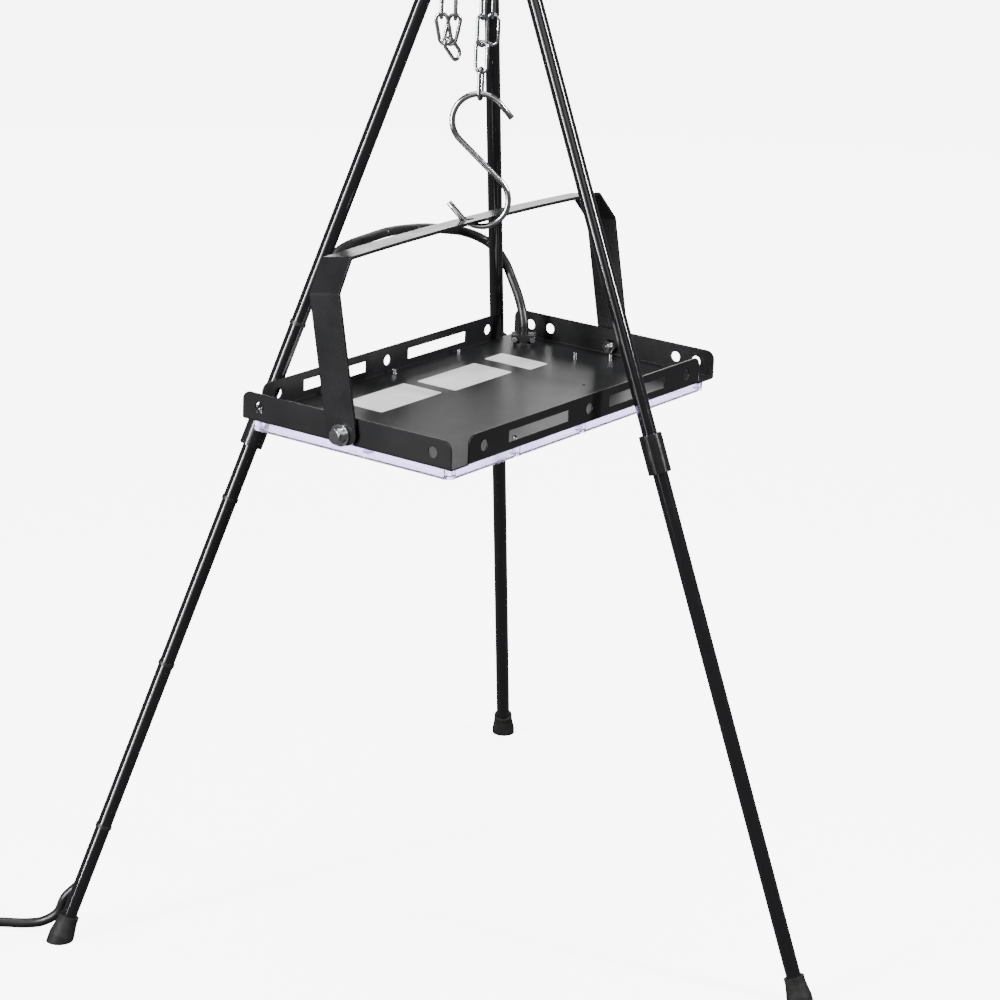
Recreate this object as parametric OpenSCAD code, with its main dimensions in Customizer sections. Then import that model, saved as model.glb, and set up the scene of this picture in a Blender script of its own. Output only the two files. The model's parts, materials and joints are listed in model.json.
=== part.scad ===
// Hanging ultraviolet exposure lamp for printing screens, on a folding tube tripod
// Millimetres, +Z up, floor at z = 0, lamp's long side along X

/* [Tripod] */
// Height of the point where the three leg lines would meet
apex_z = 1108; // [900:1:1400]
// Distance from the tripod's middle to the middle of each foot on the floor
foot_r = 434; // [380:1:560]
// Outer diameter of the leg tubes
tube_d = 15; // [12:0.5:20]
// Wall thickness of the leg tubes
tube_t = 1.5; // [1:0.1:2.5]
// Outer diameter of the sleeve that joins two tubes
sleeve_d = 23; // [20:0.5:30]
// Length of the joining sleeve
sleeve_len = 39; // [25:1:80]
// Distance along the leg line from its top point to the sleeve
sleeve_s = 605; // [450:1:800]
// Width of a rubber foot at its foot end
foot_d = 26; // [22:0.5:40]
// Width of a rubber foot where the tube goes in
foot_top_d = 21; // [18:0.5:30]
// Length of a rubber foot along the leg
foot_len = 28; // [20:1:50]

/* [Hub] */
// Diameter of the plate on top
hub_d = 94; // [88:1:130]
// Thickness of the plate on top
hub_t = 5; // [3:0.5:8]
// Distance of the leg pivots from the middle
hub_r = 25; // [24:0.5:32]
// Thickness of the flattened leg ends
eye_t = 6; // [4:0.5:8]
// Diameter of the leg pivot bolts
hub_bolt_d = 6; // [5:0.5:8]

/* [Chain and hook] */
// How far below the hub plate the chain hangs in its eye
eye_drop = 49; // [40:0.5:70]
// Wire diameter of the chain
link_wire = 3.1; // [2.5:0.1:4]
// Inside length of one link
link_pitch = 26.3; // [24:0.1:32]
// Outside width of one link
link_w = 13.2; // [12.4:0.1:16]
// Links between the hub and the hook
link_count = 6; // [4:1:7]
// Wire diameter of the S hook
hook_wire = 6; // [5:0.5:7]
// Centre-line radius of the hook's two loops
hook_r = 26.5; // [24:0.5:32]
// Distance between the middles of the hook's loops
hook_gap = 78.5; // [70:0.5:100]

/* [Yoke] */
// Width of the flat bar
bar_w = 36; // [30:1:50]
// Thickness of the flat bar
bar_t = 3; // [2.5:0.1:5]
// Height of the arms' second bend above the pivots
bar_h = 166.5; // [140:0.5:240]
// Height of the arms' first bend above the pivots
bend_h = 136; // [100:1:200]
// Outer radius of the bar's bends
bend_r = 6; // [5:0.5:12]
// How much the bar's top slopes up from its bends, in degrees
bar_crown = 2; // [1:0.1:4]
// How far the top is drawn in at each side
bar_inset = 24; // [10:1:40]
// Diameter of the hole the hook goes through
bar_hole_d = 15.5; // [14:0.5:18]
// How far the bracket leans back, in degrees
yoke_lean = 10.2; // [0:0.1:12]

/* [Lamp] */
// Length of the sheet tray
tray_l = 444; // [400:1:450]
// Width of the sheet tray
tray_w = 256; // [200:1:257]
// Height of the folded edges, over all
flange_h = 28.7; // [22:0.1:40]
// Thickness of the sheet
sheet_t = 1.6; // [1:0.1:3]
// How far the long folded edges stop short of the corners
notch = 28; // [12:1:40]
// Radius of the folded edges' upper corners
flange_r = 9; // [3:0.5:12]
// Diameter of the round holes in the folded edges
hole_d = 11; // [6:0.5:13]
// Height of the slots in the long folded edges
slot_h = 11.5; // [6:0.5:13]
// Lamp's middle to the side of the tripod's middle
lamp_x = -22; // [-40:1:40]
// Lamp's middle in front of the tripod's middle
lamp_off = -35; // [-60:1:-34]
// Diameter of the bolts the lamp turns on
pivot_d = 8; // [6:1:10]
// Width of their hexagon heads and nuts across flats
pivot_hex = 13; // [10:1:17]
// Height of those bolts above the plate's underside
pivot_up = 10.5; // [9:0.5:14]

/* [Light and cover] */
// Depth of the clear cover
cover_h = 10.5; // [8:0.5:20]
// Wall thickness of the clear cover
cover_t = 2; // [1.5:0.1:4]
// Gap from the tray's outer faces to the clear cover
cover_in = 6; // [4:0.5:12]
// Diameter of the cover screws
screw_d = 4; // [3:0.5:5]
// How far the screws stand up through the plate
screw_up = 6.2; // [3:0.1:10]
// Light chips along the board
chips_x = 14; // [6:1:18]
// Light chips across the board
chips_y = 8; // [4:1:10]

/* [Cord] */
// Outer diameter of the cord
cord_d = 10; // [7:0.5:11]
// Middle diameter of the coil
coil_d = 108; // [96:1:118]

/* [Hidden] */
$fn = 48;

gap = 0.05;
az_right = -90;
az_rear = 30;
az_left = 150;
lean = atan(foot_r / apex_z);
leg_len = apex_z / cos(lean);
foot_a = foot_d / 2 / cos(lean);
foot_b = foot_d / 2;
foot_side = sqrt(foot_a * foot_a / 4 + foot_b * foot_b * 3 / 4);
axis_y = (foot_r + foot_a - foot_r / 2 - foot_side) / 2;
eye_s = hub_r / sin(lean);
eye_z = apex_z - eye_s * cos(lean);
hub_z = eye_z + 10;
tube_in = tube_d - 2 * tube_t;
tube_s = eye_s + 16;
mid_s = sleeve_s + sleeve_len / 2;
foot_s = leg_len - foot_len;
tube_end = leg_len - 10;

lamp_y = axis_y + lamp_off;
arm_in = tray_l / 2 + 2;
arm_out = arm_in + bar_t;

// Bends of the bracket: the slanted part leans in by slope, and the top rises by bar_crown
slope = atan(bar_inset / (bar_h - bend_h));
bend_low = [arm_out - bend_r, bend_h - bend_r * tan(slope / 2)];
bend_cos = cos(90 - slope - bar_crown);
bend_top = [arm_out - bar_inset, bar_h]
  - bend_r / (1 + bend_cos) * [cos(slope) + sin(bar_crown), sin(slope) + cos(bar_crown)];
crown_x = bend_top[0] + bend_r * sin(bar_crown);
crown_r = crown_x / sin(bar_crown);
crown_z = bend_top[1] + bend_r * cos(bar_crown) - crown_r * cos(bar_crown);
bar_top = crown_z + crown_r;
bar_y = lamp_y + bar_top * sin(yoke_lean);

view_az = -53.5;
hole_q = 13.9;
hole_lat = lamp_x * cos(view_az) + (bar_y - axis_y) * sin(view_az);
hole_deep = -lamp_x * sin(view_az) + (bar_y - axis_y) * cos(view_az);
hook_b = hole_lat + hole_q;
hook_a = hook_b - 5;
hook_in = hook_r - hook_wire / 2;
hook_turn = asin(5 / hook_gap);
link_step = link_pitch - 0.2;
chain_turn = asin(hook_a / (link_count * link_step));
chain_h = link_count * link_step * cos(chain_turn);
hang_h = chain_h - 0.2 + 2 * hook_in + hook_gap * cos(hook_turn);
hang_lean = asin(-hole_deep / hang_h);
ring_z = hub_z - eye_drop;
seat_z = ring_z - hang_h * cos(hang_lean);
bar_z = seat_z + bar_t / cos(yoke_lean) + 0.4;
pivot_z = bar_z - bar_top * cos(yoke_lean);
plate_z = pivot_z - pivot_up;
ring_wire = 5;
ring_r = 11.5;
ring_mid = ring_z - ring_wire / 2 + ring_r;

cover_l = tray_l - 2 * cover_in;
cover_w = tray_w - 2 * cover_in;
cover_top = -1;
boss_d = 11;
screw_x = tray_l / 2 - 13;
screw_y = tray_w / 2 - 11;
screw_at = [[-screw_x, -screw_y], [screw_x, -screw_y], [-screw_x, screw_y], [screw_x, screw_y],
  [-108, -screw_y], [0, -screw_y], [108, -screw_y], [-108, screw_y], [0, screw_y], [108, screw_y],
  [-screw_x + 9, -13], [screw_x - 9, -13]];
board_at = [[tray_l / 2 - 41, 19], [-tray_l / 2 + 32, 40]];
clamp_x = tray_l / 2 - 35;
clamp_y = tray_w / 2 - 37;

module on_leg(az) {
  translate([0, axis_y, apex_z])
    rotate([0, 0, az])
    rotate([0, 180 - lean, 0])
    children();
}

module at_pivot(az) {
  translate([0, axis_y, eye_z])
    rotate([0, 0, az])
    translate([hub_r, 0, 0])
    rotate([90, 0, 0])
    children();
}

module hex(af, h) {
  cylinder(d = af / cos(30), h = h, $fn = 6);
}

module ring(major, wire) {
  rotate_extrude()
    translate([major, 0])
    circle(d = wire, $fn = 24);
}

// Hub

module hub_plate() {
  color("#1b1b1d")
  difference() {
    union() {
      translate([0, axis_y, hub_z])
        cylinder(d = hub_d, h = hub_t, $fn = 96);
      for (az = [az_right, az_rear, az_left]) {
        for (side = [-1, 1]) {
          at_pivot(az)
            translate([0, 0, side * (eye_t / 2 + 1.8) - 1.5])
            union() {
              cylinder(r = 9, h = 3);
              translate([-9, 0, 0])
                cube([18, hub_z - eye_z + 1, 3]);
            }
        }
      }
    }
    for (az = [az_right, az_rear, az_left]) {
      at_pivot(az)
        translate([0, 0, -20])
        cylinder(d = hub_bolt_d + 2 * gap, h = 40);
    }
    translate([0, axis_y, hub_z - 1])
      cylinder(d = 8 + 2 * gap, h = hub_t + 2);
    translate([slack_x, slack_y, hub_z - 1])
      cylinder(d = 6 + 2 * gap, h = hub_t + 2);
    translate([tail_x, tail_y, hub_z - 1])
      cylinder(d = 5 + 2 * gap, h = hub_t + 2);
  }
}

module hub_pivot_bolts() {
  color("#c9ccd0")
  for (az = [az_right, az_rear, az_left]) {
    at_pivot(az) {
      translate([0, 0, eye_t / 2 + 3.3])
        hex(10, 4);
      translate([0, 0, -eye_t / 2 - 10])
        cylinder(d = hub_bolt_d, h = eye_t + 14);
    }
  }
}

module hub_pivot_nuts() {
  color("#c9ccd0")
  for (az = [az_right, az_rear, az_left]) {
    at_pivot(az)
      translate([0, 0, -eye_t / 2 - 8.3])
      difference() {
        hex(10, 5);
        translate([0, 0, -1])
          cylinder(d = hub_bolt_d + 2 * gap, h = 7);
      }
  }
}

module eye_bolt(z_ring, major, wire, shank, turn) {
  translate([0, 0, z_ring])
    rotate([90, 0, turn])
    ring(major, wire);
  translate([0, 0, z_ring + major])
    cylinder(d = shank, h = hub_z + hub_t + shank * 1.2 - z_ring - major);
  translate([0, 0, hub_z - 2])
    cylinder(d = shank + 7, h = 2);
}

module chain_eye() {
  color("#c9ccd0")
  translate([0, axis_y, 0])
    eye_bolt(ring_mid, ring_r, ring_wire, 8, view_az + 90);
}

module chain_eye_nut() {
  color("#c9ccd0")
  translate([0, axis_y, hub_z + hub_t])
    difference() {
      hex(13, 6.5);
      translate([0, 0, -1])
        cylinder(d = 8 + 2 * gap, h = 9);
    }
}

slack_lat = -34;
slack_deep = 12;
slack_x = slack_lat * cos(view_az) - slack_deep * sin(view_az);
slack_y = axis_y + slack_lat * sin(view_az) + slack_deep * cos(view_az);
slack_mid = hub_z - 46;

module slack_eye() {
  color("#c9ccd0")
  translate([slack_x, slack_y, 0])
    eye_bolt(slack_mid, 10, 4, 6, view_az);
}

module slack_eye_nut() {
  color("#c9ccd0")
  translate([slack_x, slack_y, hub_z + hub_t])
    difference() {
      hex(10, 5);
      translate([0, 0, -1])
        cylinder(d = 6 + 2 * gap, h = 7);
    }
}

tail_lat = 10;
tail_deep = 12;
tail_x = tail_lat * cos(view_az) - tail_deep * sin(view_az);
tail_y = axis_y + tail_lat * sin(view_az) + tail_deep * cos(view_az);
tail_z = hub_z - 77;
tail_r = 8;
tail_wire = 3.5;

module tail_eye() {
  color("#c9ccd0")
  translate([tail_x, tail_y, 0])
    union() {
      translate([0, 0, tail_z + tail_r - tail_wire / 2])
        rotate([90, 0, view_az + 90])
        ring(tail_r, tail_wire);
      translate([0, 0, tail_z + 2 * tail_r - tail_wire / 2])
        cylinder(d = 5, h = hub_z + hub_t + 6 - tail_z - 2 * tail_r + tail_wire / 2);
    }
}

module tail_eye_nut() {
  color("#c9ccd0")
  translate([tail_x, tail_y, hub_z + hub_t])
    difference() {
      hex(8, 4);
      translate([0, 0, -1])
        cylinder(d = 5 + 2 * gap, h = 7);
    }
}

// Legs

module leg_eye(az) {
  color("#1b1b1d")
  on_leg(az)
    difference() {
      union() {
        translate([0, eye_t / 2, eye_s])
          rotate([90, 0, 0])
          cylinder(r = 7.5, h = eye_t);
        translate([-7.5, -eye_t / 2, eye_s])
          cube([15, eye_t, 13]);
        translate([0, 0, eye_s + 12])
          cylinder(d = tube_d, h = 4);
        translate([0, 0, eye_s + 12])
          cylinder(d = tube_in - 2 * gap, h = 34);
      }
      translate([0, 20, eye_s])
        rotate([90, 0, 0])
        cylinder(d = hub_bolt_d + 2 * gap, h = 40);
    }
}

module leg_tube(az, s0, s1) {
  color("#1b1b1d")
  on_leg(az)
    translate([0, 0, s0])
    difference() {
      cylinder(d = tube_d, h = s1 - s0);
      translate([0, 0, -1])
        cylinder(d = tube_in, h = s1 - s0 + 2);
    }
}

module leg_sleeve(az) {
  color("#1b1b1d")
  on_leg(az)
    translate([0, 0, sleeve_s])
    difference() {
      cylinder(d = sleeve_d, h = sleeve_len);
      translate([0, 0, -1])
        cylinder(d = tube_in, h = sleeve_len + 2);
      translate([0, 0, -1])
        cylinder(d = tube_d + 2 * gap, h = sleeve_len / 2 - 1);
      translate([0, 0, sleeve_len / 2 + 2])
        cylinder(d = tube_d + 2 * gap, h = sleeve_len / 2);
    }
}

module leg_foot(az) {
  color("#151515")
  difference() {
    on_leg(az)
      difference() {
        translate([0, 0, foot_s])
          rotate_extrude($fn = 64)
          polygon([[0, 0], [foot_top_d / 2, 0], [foot_top_d / 2, foot_len * 0.22],
            [foot_d / 2 - 1, foot_len * 0.55], [foot_d / 2, foot_len * 0.75],
            [foot_d / 2, foot_len + 12], [0, foot_len + 12]]);
        translate([0, 0, foot_s - 1])
          cylinder(d = tube_d + 2 * gap, h = tube_end - foot_s + 1);
      }
    translate([-600, -600, -50])
      cube([1200, 1200, 50]);
  }
}

module leg_left_eye() { leg_eye(az_left); }
module leg_left_upper_tube() { leg_tube(az_left, tube_s, mid_s - 2); }
module leg_left_sleeve() { leg_sleeve(az_left); }
module leg_left_lower_tube() { leg_tube(az_left, mid_s + 2, tube_end); }
module leg_left_foot() { leg_foot(az_left); }
module leg_right_eye() { leg_eye(az_right); }
module leg_right_upper_tube() { leg_tube(az_right, tube_s, mid_s - 2); }
module leg_right_sleeve() { leg_sleeve(az_right); }
module leg_right_lower_tube() { leg_tube(az_right, mid_s + 2, tube_end); }
module leg_right_foot() { leg_foot(az_right); }
module leg_rear_eye() { leg_eye(az_rear); }
module leg_rear_upper_tube() { leg_tube(az_rear, tube_s, mid_s - 2); }
module leg_rear_sleeve() { leg_sleeve(az_rear); }
module leg_rear_lower_tube() { leg_tube(az_rear, mid_s + 2, tube_end); }
module leg_rear_foot() { leg_foot(az_rear); }

// Chain

module link() {
  r = (link_w - link_wire) / 2;
  straight = link_pitch + link_wire - 2 * r;
  for (end = [0, 1]) {
    translate([0, 0, end * straight])
      rotate([90, end * 180, 0])
      rotate_extrude(angle = -180)
      translate([r, 0])
      circle(d = link_wire, $fn = 20);
  }
  for (side = [-1, 1]) {
    translate([side * r, 0, -0.01])
      cylinder(d = link_wire, h = straight + 0.02, $fn = 20);
  }
}

// Link with the inside of its lower end at the origin and its length along +Z
module link_up(turn) {
  rotate([0, 0, turn])
    translate([0, 0, (link_w - link_wire) / 2 - link_wire / 2])
    link();
}

module hang_frame() {
  translate([0, axis_y, ring_z])
    rotate([0, 0, view_az])
    rotate([-hang_lean, 0, 0])
    children();
}

module load_chain() {
  color("#d2d5d8")
  hang_frame()
    rotate([0, -chain_turn, 0])
    union() {
      for (i = [0 : link_count - 1]) {
        translate([0, 0, (i - link_count) * link_step])
          link_up(90 - 90 * (i % 2));
      }
    }
}

module strand(x0, z0, x1, n) {
  drop = sqrt(link_step * link_step - (x1 - x0) * (x1 - x0));
  top_turn = asin((x1 - x0) / link_step);
  translate([x1, 0, z0 - drop])
    rotate([0, -top_turn, 0])
    link_up(90);
  for (i = [1 : n]) {
    translate([x1, 0, z0 - drop - i * link_step])
      link_up(i % 2 == 1 ? 0 : 90);
  }
}

slack_left = -6.9;
slack_right = 6.9;
slack_n = 3;
slack_drop_a = sqrt(link_step * link_step - 1.9 * 1.9);
slack_drop_b = sqrt(link_step * link_step - 6.9 * 6.9);
slack_lift = 8 - sqrt(64 - 25);

module slack_chain() {
  low_a = slack_lift - slack_drop_a - slack_n * link_step - link_wire / 2;
  low_b = -slack_drop_b - slack_n * link_step - link_wire / 2;
  tilt = atan((low_a - low_b) / (slack_right - slack_left));
  color("#d2d5d8")
  translate([slack_x, slack_y, slack_mid - 8 + 0.3])
    rotate([0, 0, view_az]) {
      strand(-5, slack_lift, slack_left, slack_n);
      strand(0, 0, slack_right, slack_n);
      translate([0, 0, (low_a + low_b) / 2])
        rotate([0, 90 + tilt, 0])
        translate([0, 0, -link_pitch / 2])
        link_up(90);
    }
}

// End of the chain that is left over, beside the loaded run
module tail_chain() {
  color("#d2d5d8")
  translate([tail_x, tail_y, tail_z])
    rotate([0, 0, view_az])
    union() {
      for (i = [1 : 3]) {
        translate([0, 0, -i * link_step])
          link_up(i % 2 == 1 ? 0 : 90);
      }
    }
}

// Hook

hook_bend = 38;
hook_tip = 18.5;
hook_tan = acos(2 * hook_r / hook_gap);

module hook_half() {
  // loop from the shank over the top to the flared tip
  rotate([90, 0, 0])
    rotate([0, 0, hook_bend])
    rotate_extrude(angle = 180 + hook_shank - hook_bend, $fn = 96)
    translate([hook_r, 0])
    circle(d = hook_wire, $fn = 24);
  rotate([0, -hook_bend, 0])
    translate([hook_r, 0, -hook_tip])
    cylinder(d = hook_wire, h = hook_tip + 0.01, $fn = 24);
  rotate([0, -hook_bend, 0])
    translate([hook_r, 0, -hook_tip])
    sphere(d = hook_wire, $fn = 24);
}

hook_shank = 90 - hook_tan;
hook_shank_len = 2 * sqrt(hook_gap * hook_gap / 4 - hook_r * hook_r);

module s_hook() {
  color("#d2d5d8")
  hang_frame()
    translate([hook_a, 0, -chain_h + 0.2 - hook_in])
    rotate([0, -hook_turn, 0])
    translate([0, 0, -hook_gap / 2])
    union() {
      for (end = [0, 1]) {
        rotate([0, end * 180, 0])
          translate([0, 0, hook_gap / 2])
          hook_half();
      }
      rotate([0, -hook_shank, 0])
        translate([0, 0, -hook_shank_len / 2])
        cylinder(d = hook_wire, h = hook_shank_len, $fn = 24);
    }
}

// Yoke

module yoke_frame() {
  translate([lamp_x, lamp_y, pivot_z])
    rotate([-yoke_lean, 0, 0])
    children();
}

function arc(c, r, a0, a1, n) = [for (i = [0 : n]) let (a = a0 + (a1 - a0) * i / n) c + r * [cos(a), sin(a)]];
function flip(p) = [for (i = [len(p) - 1 : -1 : 0]) [-p[i][0], p[i][1]]];
function half_bar(t) = concat([[arm_out - t, -pivot_up]], arc(bend_low, bend_r - t, 0, slope, 5),
  arc(bend_top, bend_r - t, slope, 90 - bar_crown, 5), arc([0, crown_z], crown_r - t, 90 - bar_crown, 90, 8));

module bar_profile() {
  out = half_bar(0);
  in = half_bar(bar_t);
  difference() {
    polygon(concat(out, flip(out)));
    polygon(concat(in, flip(in), [[-arm_in, -pivot_up - 1], [arm_in, -pivot_up - 1]]));
  }
}

module arm_end() {
  // rounded lower end of an arm, cut away from a plain bar
  difference() {
    translate([-bar_w, -pivot_up - 1])
      square([2 * bar_w, 13]);
    translate([-bar_w / 2 + 12, -pivot_up])
      square([bar_w - 24, 24]);
    for (side = [-1, 1]) {
      translate([side * (bar_w / 2 - 12), 12 - pivot_up])
        circle(r = 12);
    }
  }
}

module yoke() {
  color("#1b1b1d")
  yoke_frame()
    difference() {
      translate([0, bar_w / 2, 0])
        rotate([90, 0, 0])
        linear_extrude(bar_w)
        bar_profile();
      translate([-arm_out - 10, 0, 0])
        rotate([90, 0, 90])
        linear_extrude(2 * arm_out + 20)
        arm_end();
      translate([-arm_out - 10, 0, 0])
        rotate([0, 90, 0])
        cylinder(d = pivot_d + 2 * gap, h = 2 * arm_out + 20);
      translate([0, 0, bar_top - 20])
        cylinder(d = bar_hole_d, h = 40);
    }
}

// Lamp

module lamp_frame() {
  translate([lamp_x, lamp_y, plate_z])
    children();
}

module tab(w, h, r) {
  // flat folded edge with rounded upper corners
  difference() {
    translate([-w / 2, 0])
      square([w, h]);
    for (side = [-1, 1]) {
      translate([side * w / 2, h])
        difference() {
          square(2 * r, center = true);
          translate([-side * r, -r])
            circle(r = r);
        }
    }
  }
}

hole_z = flange_h / 2 + 0.4;
end_hole = tray_w / 2 - 21.5;

module long_edge() {
  w = tray_l - 2 * notch;
  difference() {
    tab(w, flange_h, flange_r);
    for (x = [-w / 2 + 23.5, 0, w / 2 - 23.5]) {
      translate([x, hole_z])
        circle(d = hole_d);
    }
    for (side = [-1, 1]) {
      translate([side * 83 - 49, hole_z - slot_h / 2])
        square([98, slot_h]);
    }
  }
}

module short_edge(inner) {
  difference() {
    tab(tray_w, flange_h, flange_r);
    for (side = [-1, 1]) {
      translate([side * end_hole, hole_z])
        circle(d = hole_d);
      if (inner) {
        translate([side * (end_hole - 25.5), hole_z])
          circle(d = hole_d);
      }
    }
    translate([0, pivot_up])
      circle(d = pivot_d + 2 * gap);
  }
}

fold_r = 2.4;

// What a fold along X takes off the outer corner at y = edge
module fold_off(len, edge) {
  difference() {
    translate([-len / 2, edge - fold_r, -1])
      cube([len, fold_r + 1, fold_r + 1]);
    translate([-len / 2 - 1, edge - fold_r, fold_r])
      rotate([0, 90, 0])
      cylinder(r = fold_r, h = len + 2);
  }
}

// What it fills in on the inside
module fold_in(len, edge) {
  r = fold_r - sheet_t + 0.4;
  translate([-len / 2, edge - sheet_t - r, sheet_t])
    difference() {
      cube([len, r + 0.2, r]);
      translate([-1, 0, r])
        rotate([0, 90, 0])
        cylinder(r = r, h = len + 2);
    }
}

module lamp_tray() {
  color("#1b1b1d")
  lamp_frame()
    difference() {
      union() {
        for (side = [0, 1]) {
          rotate([0, 0, 180 * side])
            fold_in(tray_l - 2 * notch, tray_w / 2);
          rotate([0, 0, 180 * side + 90])
            fold_in(tray_w, tray_l / 2);
        }
        translate([-tray_l / 2, -tray_w / 2, 0])
          cube([tray_l, tray_w, sheet_t]);
        for (side = [-1, 1]) {
          translate([0, side * (tray_w / 2 - sheet_t / 2) + sheet_t / 2, 0])
            rotate([90, 0, 0])
            linear_extrude(sheet_t)
            long_edge();
          translate([side * (tray_l / 2 - sheet_t / 2) - sheet_t / 2, 0, 0])
            rotate([90, 0, 90])
            linear_extrude(sheet_t)
            short_edge(side > 0);
        }
      }
      for (p = concat(screw_at, board_at)) {
        translate([p[0], p[1], -1])
          cylinder(d = screw_d + 2 * gap, h = 4, $fn = 24);
      }
      translate([103, -48, -1])
        cylinder(d = 3.5, h = 4, $fn = 24);
      for (side = [0, 1]) {
        rotate([0, 0, 180 * side])
          fold_off(tray_l - 2 * notch, tray_w / 2);
        rotate([0, 0, 180 * side + 90])
          fold_off(tray_w + 2, tray_l / 2);
      }
      translate([clamp_x, clamp_y, -1])
        cylinder(d = 14 + 2 * gap, h = 4);
    }
}

module each_pivot() {
  for (side = [-1, 1]) {
    lamp_frame()
      translate([0, 0, pivot_up])
      rotate([0, 90 * side, 0])
      translate([0, 0, tray_l / 2])
      children();
  }
}

arm_face = 2 + bar_t + 0.3;

module pivot_bolts() {
  color("#c9ccd0")
  each_pivot() {
    translate([0, 0, arm_face + 4.2])
      hex(pivot_hex, 5.3);
    translate([0, 0, arm_face + 9])
      cylinder(d = pivot_hex - 1.5, h = 0.8);
    translate([0, 0, -12])
      cylinder(d = pivot_d, h = arm_face + 17);
  }
}

module washer(od, h) {
  difference() {
    cylinder(d = od, h = h);
    translate([0, 0, -1])
      cylinder(d = pivot_d + 2 * gap, h = h + 2);
  }
}

module pivot_washers() {
  color("#c9ccd0")
  each_pivot()
    translate([0, 0, arm_face])
    washer(22, 2);
}

module pivot_spring_washers() {
  color("#c9ccd0")
  each_pivot()
    translate([0, 0, arm_face + 2])
    difference() {
      washer(14.8, 2.2);
      rotate([0, 0, 60])
        translate([pivot_d / 2 - 0.5, -0.5, -1])
        cube([6, 1, 5]);
    }
}

module pivot_spacers() {
  color("#222224")
  each_pivot()
    washer(20, 1.7);
}

module pivot_nuts() {
  color("#c9ccd0")
  each_pivot()
    translate([0, 0, -sheet_t - 6.5])
    difference() {
      rotate([0, 0, 30])
        hex(pivot_hex, 6.5);
      translate([0, 0, -1])
        cylinder(d = pivot_d + 2 * gap, h = 10);
    }
}

board_l = tray_l - 70;
board_w = tray_w - 60;

module led_board() {
  color("#e8e8e4")
  lamp_frame()
    difference() {
      translate([-board_l / 2, -board_w / 2, -2])
        cube([board_l, board_w, 2]);
      for (p = board_at) {
        translate([p[0], p[1], -3])
          cylinder(d = 13, h = 4);
      }
      translate([board_l / 2 - 24, board_w / 2 - 36, -3])
        cube([30, 40, 4]);
    }
}

module led_chips() {
  color("#e9e2b4")
  lamp_frame()
    for (i = [0 : chips_x - 1]) {
      for (j = [0 : chips_y - 1]) {
        translate([(i - (chips_x - 1) / 2) * (board_l - 60) / chips_x - 2.5,
          (j - (chips_y - 1) / 2) * (board_w - 20) / chips_y - 2.5, -3.2])
          cube([5, 5, 1.2]);
      }
    }
}

module driver_parts() {
  color("#2a2a2c")
  lamp_frame()
    for (k = [-1, 0, 1]) {
      translate([board_l / 2 - 28, k * 30 - 22, -4.4])
        cube([8, 14, 2.4]);
    }
}

module round_box(l, w, r, h) {
  linear_extrude(h)
    union() {
      square([l - 2 * r, w], center = true);
      square([l, w - 2 * r], center = true);
      for (x = [-1, 1]) {
        for (y = [-1, 1]) {
          translate([x * (l / 2 - r), y * (w / 2 - r)])
            circle(r = r);
        }
      }
    }
}

module cover_gasket() {
  color("#2b2b2b")
  lamp_frame()
    translate([0, 0, cover_top])
    difference() {
      round_box(cover_l, cover_w, 8, -cover_top);
      translate([0, 0, -1])
        round_box(cover_l - 28, cover_w - 28, 4, 4);
      for (p = screw_at) {
        translate([p[0], p[1], -1])
          cylinder(d = screw_d + 2 * gap, h = 4, $fn = 24);
      }
    }
}

module clear_cover() {
  color("#cfd6ea", 0.4)
  lamp_frame()
    translate([0, 0, cover_top - cover_h])
    difference() {
      union() {
        difference() {
          round_box(cover_l, cover_w, 8, cover_h);
          translate([0, 0, cover_t])
            round_box(cover_l - 2 * cover_t, cover_w - 2 * cover_t, 6, cover_h);
        }
        for (p = screw_at) {
          translate([p[0], p[1], 0])
            cylinder(d = boss_d, h = cover_h, $fn = 32);
        }
      }
      for (p = screw_at) {
        translate([p[0], p[1], -1])
          cylinder(d = screw_d + 2 * gap, h = cover_h + 2, $fn = 24);
        translate([p[0], p[1], -1])
          cylinder(d = 8, h = 3.8, $fn = 24);
      }
    }
}

module cover_screws() {
  color("#c9ccd0")
  lamp_frame()
    for (p = screw_at) {
      translate([p[0], p[1], cover_top - cover_h + 0.3]) {
        cylinder(d = 7.4, h = 2.5, $fn = 24);
        cylinder(d = screw_d, h = cover_h - 0.3 - cover_top + sheet_t + screw_up, $fn = 24);
      }
    }
}

module board_screws() {
  color("#c9ccd0")
  lamp_frame()
    for (p = board_at) {
      translate([p[0], p[1], -2.5]) {
        cylinder(d = 7.4, h = 2.5, $fn = 24);
        cylinder(d = screw_d, h = 2.5 + sheet_t + screw_up, $fn = 24);
      }
    }
}

// Cord clamp on the plate

module clamp_frame() {
  lamp_frame()
    translate([clamp_x, clamp_y, sheet_t])
    rotate([0, 0, view_az])
    children();
}

clamp_h = 12;

module clamp_body() {
  color("#2a2a2c")
  clamp_frame()
    difference() {
      union() {
        cylinder(d = 22, h = 3);
        translate([0, 0, -sheet_t - 6])
          cylinder(d = 14, h = sheet_t + 7);
        translate([-13, 0.8, 3])
          cube([26, 8, clamp_h - 3]);
        translate([0, 0, 2])
          cylinder(d = 15, h = 3);
      }
      translate([0, 0, -20])
        cylinder(d = cord_d + 2 * gap, h = 40);
      for (side = [-1, 1]) {
        translate([side * 9.5, 20, 7.5])
          rotate([90, 0, 0])
          cylinder(d = 3 + 2 * gap, h = 30, $fn = 24);
      }
    }
}

module clamp_bar() {
  color("#2a2a2c")
  clamp_frame()
    difference() {
      translate([-13, -7.2, 5.2])
        cube([26, 6.4, clamp_h - 5.2]);
      translate([0, 0, -20])
        cylinder(d = cord_d + 2 * gap, h = 40);
      for (side = [-1, 1]) {
        translate([side * 9.5, 20, 7.5])
          rotate([90, 0, 0])
          cylinder(d = 3 + 2 * gap, h = 40, $fn = 24);
      }
    }
}

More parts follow.
